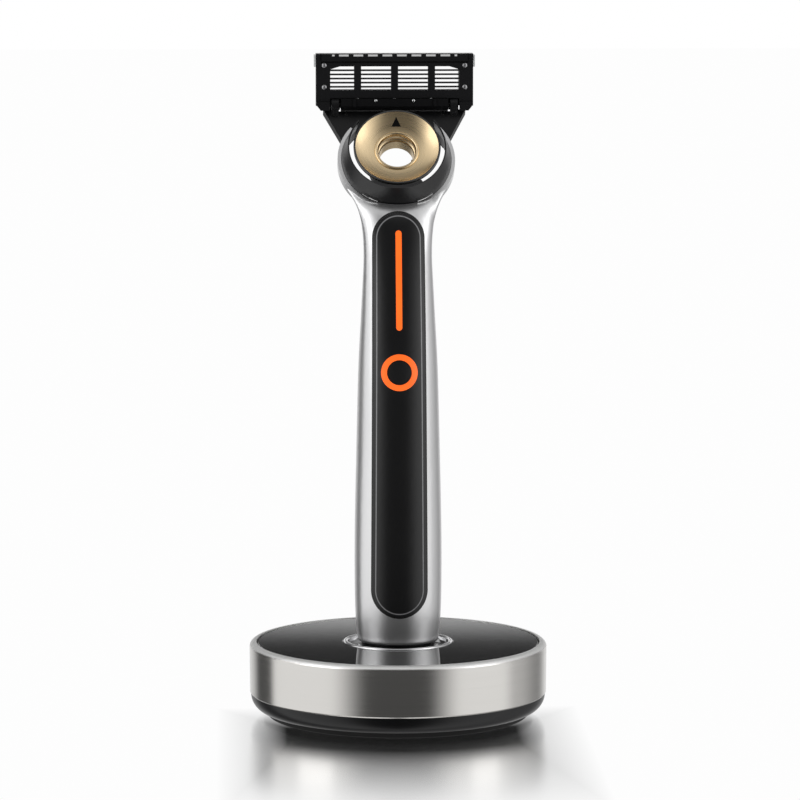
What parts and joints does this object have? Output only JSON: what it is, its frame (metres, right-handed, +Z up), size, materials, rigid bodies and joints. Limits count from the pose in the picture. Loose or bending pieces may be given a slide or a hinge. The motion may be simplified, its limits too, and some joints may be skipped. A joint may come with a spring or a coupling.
{
  "type": "heated cartridge razor with charging dock",
  "caption": "Heated cartridge razor with a tilted disc head, standing in a round steel-banded charging dock.",
  "frame": {"origin": "centre of the dock's foot on the table", "axes": "+Z up along the razor, -Y towards the front with the button, +X to the right seen from the front"},
  "size_m": [0.0816, 0.0816, 0.1803],
  "materials": {
    "foot_rubber": "matt black moulded rubber",
    "black_plastic": "fine satin moulded black",
    "brushed_band": "brushed around the band",
    "gloss_black": "piano gloss black",
    "chrome_ring": "polished",
    "zinc_steel": "plain zinc-plated steel",
    "ferrite": "pressed grey ferrite",
    "copper_wire": "enamelled copper",
    "circuit_green": "solder mask",
    "chip_black": "moulded packages",
    "contact_gold": "plated contact",
    "satin_silver": "fine bead-blasted satin",
    "panel_black": "satin black",
    "light_orange": "lit translucent orange",
    "led_white": "clear package",
    "cell_wrap": "shrink sleeve",
    "gold_disc": "circular-brushed champagne gold",
    "mark_black": "printed black",
    "blade_steel": "ground edge",
    "heater_film": "amber film",
    "strip_gel": "smooth pale gel",
    "fin_rubber": "soft moulded fins"
  },
  "bodies": {
    "dock": {"dock_foot_ring": "foot_rubber", "dock_base_pan": "black_plastic", "dock_steel_band": "brushed_band", "dock_top_cover": "gloss_black", "dock_seat_ring": "chrome_ring", "dock_well_cup": "gloss_black", "dock_ballast_plate": "zinc_steel", "dock_coil_core": "ferrite", "dock_charge_coil": "copper_wire", "dock_seat_magnets": "zinc_steel", "dock_circuit_board": "circuit_green", "dock_board_chips": "chip_black", "dock_power_socket": "black_plastic", "dock_socket_contacts": "contact_gold", "dock_base_screws": "zinc_steel"},
    "handle": {"handle_shell": "satin_silver", "front_panel": "panel_black", "panel_gasket": "panel_black", "light_strip": "light_orange", "button_light_ring": "light_orange", "button_switch": "black_plastic", "control_board": "circuit_green", "board_components": "chip_black", "led_board": "circuit_green", "indicator_leds": "led_white", "battery_cell": "cell_wrap", "battery_tabs": "contact_gold", "inner_chassis": "black_plastic", "end_cap": "black_plastic", "end_cap_seal": "foot_rubber", "handle_charge_coil": "copper_wire", "handle_coil_core": "ferrite", "docking_plate": "zinc_steel", "chassis_screws": "zinc_steel", "neck_collar": "panel_black", "collar_bridge": "panel_black", "collar_trim": "chrome_ring"},
    "button": {"power_button": "panel_black"},
    "disc": {"disc_hub": "gloss_black", "gold_dish": "gold_disc", "direction_mark": "mark_black", "hub_magnets": "zinc_steel", "rear_yoke": "black_plastic", "yoke_rivets": "zinc_steel"},
    "heater": {"heater_carrier": "black_plastic", "warming_bar": "blade_steel", "heater_pad": "heater_film", "pivot_pins": "zinc_steel", "latch_pegs": "zinc_steel"},
    "cartridge": {"blade_frame": "black_plastic", "blade_clips": "chrome_ring", "lubricating_strip": "strip_gel", "guard_fins": "fin_rubber", "trimmer_guard": "black_plastic", "trimmer_blade": "blade_steel", "blade_1": "blade_steel", "blade_2": "blade_steel", "blade_3": "blade_steel", "blade_4": "blade_steel", "blade_5": "blade_steel"}
  },
  "joints": [
    {"name": "razor_lift", "type": "slide", "parent": "dock", "child": "handle", "axis": [0, 0, 1], "range_m": [0, 0.06]},
    {"name": "button_press", "type": "slide", "parent": "handle", "child": "button", "axis": [0, 0.9945, -0.1045], "range_m": [0, 0.0004], "stiffness_N_per_m": 2000, "springref_m": -0.0002},
    {"name": "disc_rock", "type": "hinge", "parent": "handle", "child": "disc", "pos_m": [0, 0.006, 0.1559], "axis": [0, -0.8039, 0.5948], "range_deg": [-8, 8], "stiffness_Nm_per_rad": 0.15},
    {"name": "cartridge_tilt", "type": "hinge", "parent": "disc", "child": "heater", "pos_m": [0, 0.024, 0.1661], "axis": [1, 0, 0], "range_deg": [0, 40], "stiffness_Nm_per_rad": 0.012, "springref_deg": -17.19},
    {"name": "cartridge_release", "type": "slide", "parent": "heater", "child": "cartridge", "axis": [0, 0, 1], "range_m": [0, 0.012]}
  ]
}
